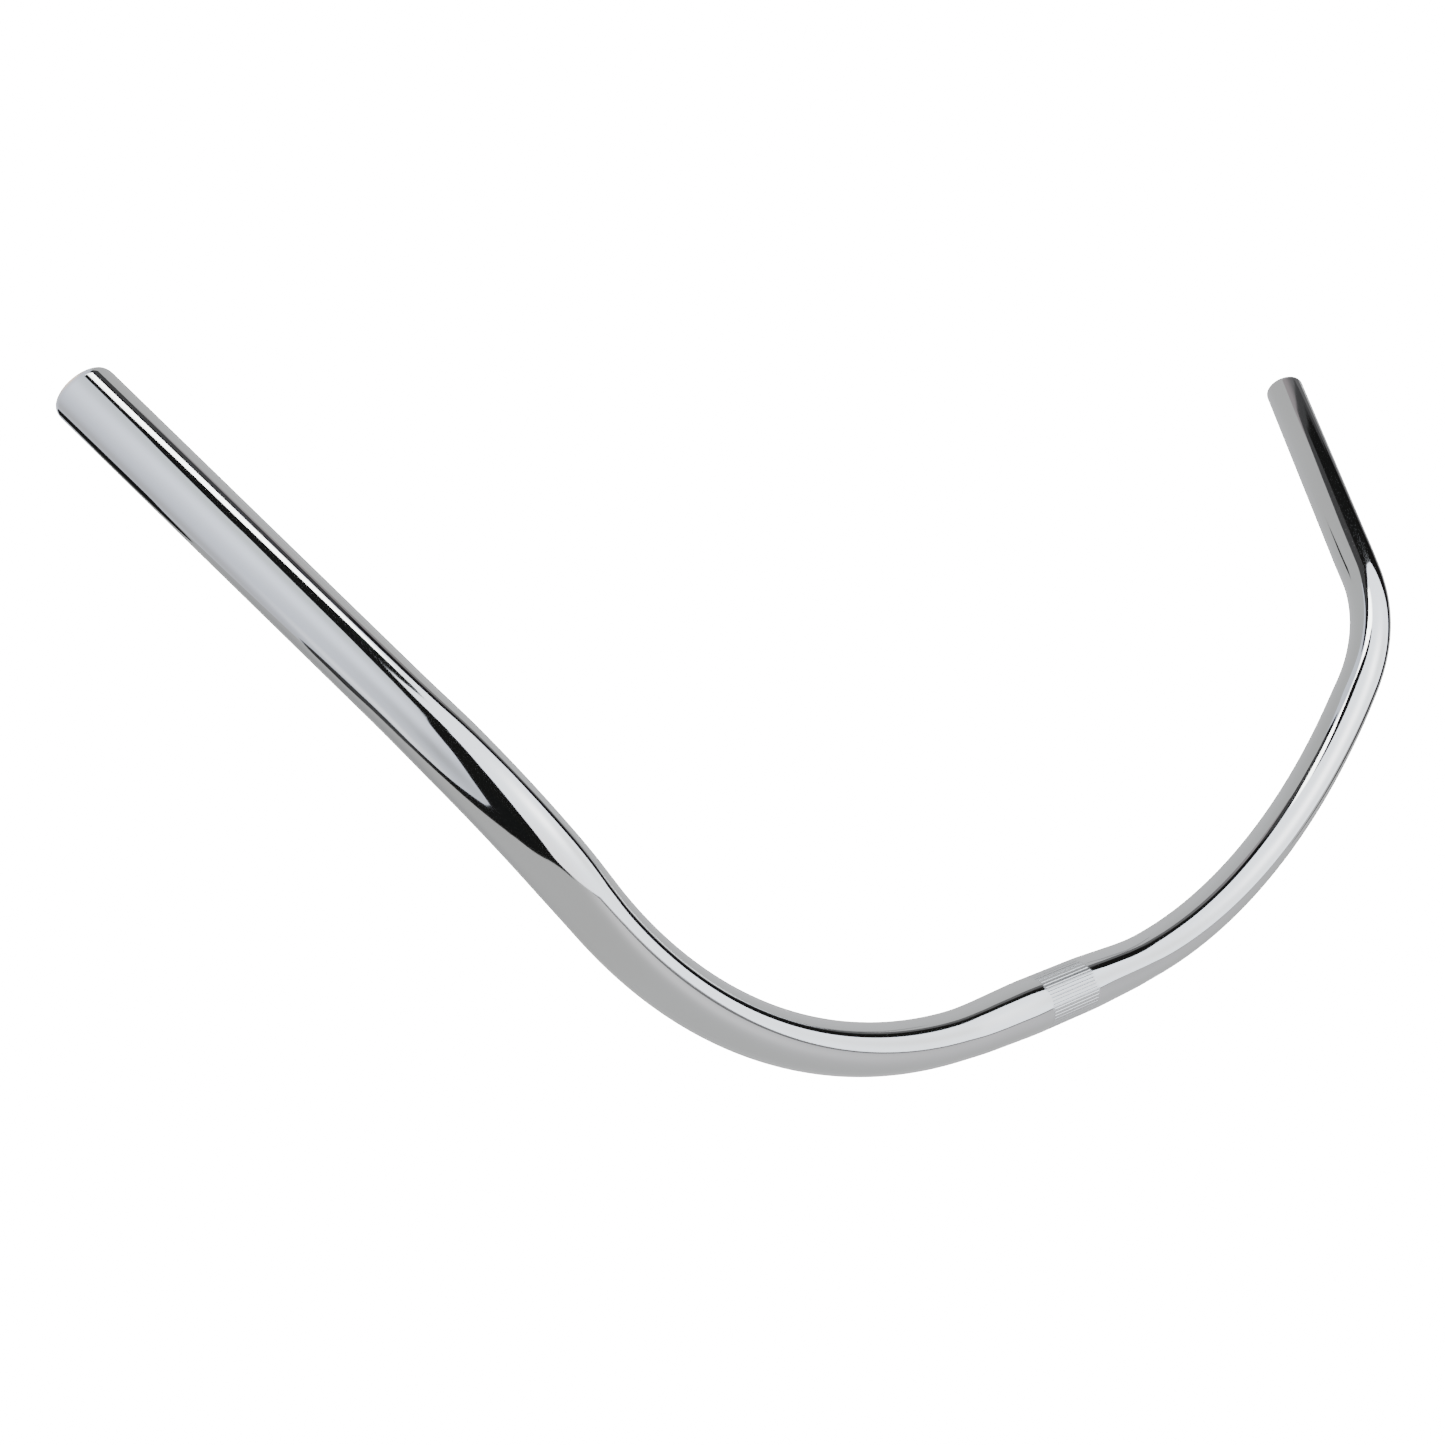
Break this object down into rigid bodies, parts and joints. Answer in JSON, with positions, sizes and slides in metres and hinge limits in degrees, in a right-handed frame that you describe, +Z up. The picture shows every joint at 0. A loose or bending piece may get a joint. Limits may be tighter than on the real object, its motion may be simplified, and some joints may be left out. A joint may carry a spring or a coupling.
{
  "type": "bicycle handlebar",
  "caption": "Pulled-back chromed steel handlebar: knurled swelled clamp centre, swept-up bends and straight bare grip ends.",
  "frame": {"origin": "middle of the clamp centre, on the tube's axis", "axes": "+X along the clamp centre towards the rider's right hand, +Y forward, +Z up with the grips level and pointing back"},
  "size_m": [0.7544, 0.302, 0.12],
  "materials": {
    "chrome_tube": "polished chrome plate on steel",
    "knurled_chrome": "chrome plate over lengthwise flutes"
  },
  "bodies": {
    "root": {"knurled_centre": "knurled_chrome", "left_clamp_shoulder": "chrome_tube", "right_clamp_shoulder": "chrome_tube", "left_swage_taper": "chrome_tube", "right_swage_taper": "chrome_tube", "left_main_bend": "chrome_tube", "right_main_bend": "chrome_tube", "left_link_tube": "chrome_tube", "right_link_tube": "chrome_tube", "left_grip_bend": "chrome_tube", "right_grip_bend": "chrome_tube", "left_grip_tube": "chrome_tube", "right_grip_tube": "chrome_tube"}
  },
  "joints": []
}
